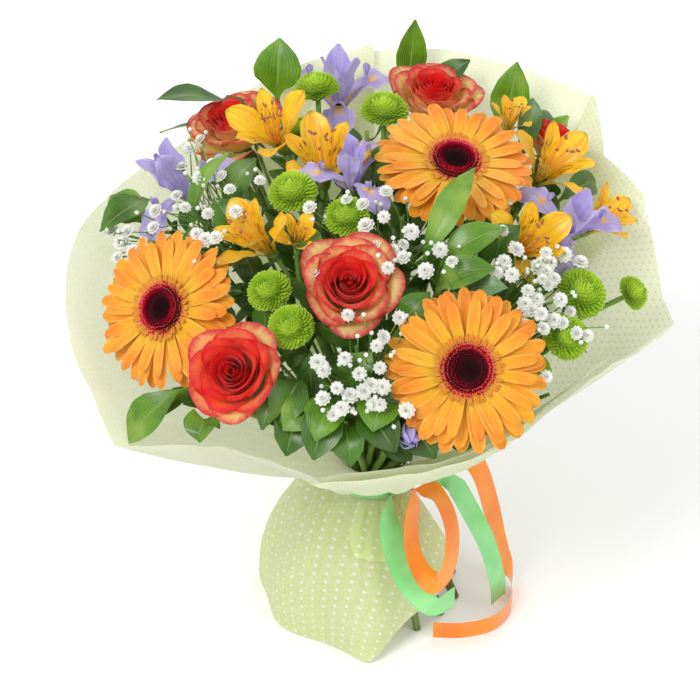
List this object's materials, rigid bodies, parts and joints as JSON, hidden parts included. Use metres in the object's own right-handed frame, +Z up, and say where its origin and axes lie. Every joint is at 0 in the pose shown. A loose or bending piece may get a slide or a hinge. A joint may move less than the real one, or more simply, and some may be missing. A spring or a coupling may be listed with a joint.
{
  "type": "flower bouquet",
  "caption": "Hand-tied spiral bouquet of gerberas, roses, irises, alstroemerias and filler flowers in a dotted cloth wrap, tied with two satin ribbons; it stands on its splayed stems.",
  "frame": {"origin": "on the floor, under the middle of the bouquet's bounding box", "axes": "+Z up, -Y towards the viewer whom the blooms face, +X to that viewer's right"},
  "size_m": [0.4057, 0.3612, 0.3797],
  "materials": {
    "gerbera_petal": "soft orange petal with fine ridges",
    "gerbera_disc": "crimson velvety florets",
    "stem": "green stem, brown at the cut",
    "rose_petal": "velvety petal, red-orange with cream",
    "pompon": "green quilled florets",
    "alstroemeria": "golden petal with orange flush",
    "iris": "violet petal with a yellow stripe",
    "gypsophila": "matt white florets",
    "leaf": "glossy green leaf",
    "wrap": "thin translucent non-woven cloth with white dots",
    "ribbon_green": "satin",
    "ribbon_orange": "satin",
    "tape": "stretched tape"
  },
  "bodies": {
    "root": {"alstroemeria_back_left": "alstroemeria", "alstroemeria_back_right": "alstroemeria", "alstroemeria_left": "alstroemeria", "alstroemeria_low_right": "alstroemeria", "alstroemeria_right": "alstroemeria", "binding_tape": "tape", "gerbera_left_disc": "gerbera_disc", "gerbera_left_petals": "gerbera_petal", "gerbera_left_stem": "stem", "gerbera_right_disc": "gerbera_disc", "gerbera_right_petals": "gerbera_petal", "gerbera_right_stem": "stem", "gerbera_top_disc": "gerbera_disc", "gerbera_top_petals": "gerbera_petal", "gerbera_top_stem": "stem", "gypsophila_far_left": "gypsophila", "gypsophila_front": "gypsophila", "gypsophila_left": "gypsophila", "gypsophila_middle": "gypsophila", "gypsophila_right": "gypsophila", "iris_back_petals": "iris", "iris_back_stem": "stem", "iris_bud": "iris", "iris_centre_petals": "iris", "iris_centre_stem": "stem", "iris_left_petals": "iris", "iris_left_stem": "stem", "iris_right_petals": "iris", "iris_right_stem": "stem", "leaves_back": "leaf", "leaves_back_left": "leaf", "leaves_back_right": "leaf", "leaves_centre_right": "leaf", "leaves_front": "leaf", "leaves_front_left": "leaf", "leaves_front_right": "leaf", "leaves_left": "leaf", "pompons_back": "pompon", "pompons_back_left": "pompon", "pompons_centre": "pompon", "pompons_left": "pompon", "pompons_low_right": "pompon", "pompons_right": "pompon", "ribbon_green": "ribbon_green", "ribbon_orange": "ribbon_orange", "rose_back_bloom": "rose_petal", "rose_back_left_bloom": "rose_petal", "rose_back_left_stem": "stem", "rose_back_stem": "stem", "rose_centre_bloom": "rose_petal", "rose_centre_stem": "stem", "rose_far_right_bloom": "rose_petal", "rose_far_right_stem": "stem", "rose_left_bloom": "rose_petal", "rose_left_stem": "stem", "wrap_back": "wrap", "wrap_left": "wrap", "wrap_right": "wrap"}
  },
  "joints": []
}
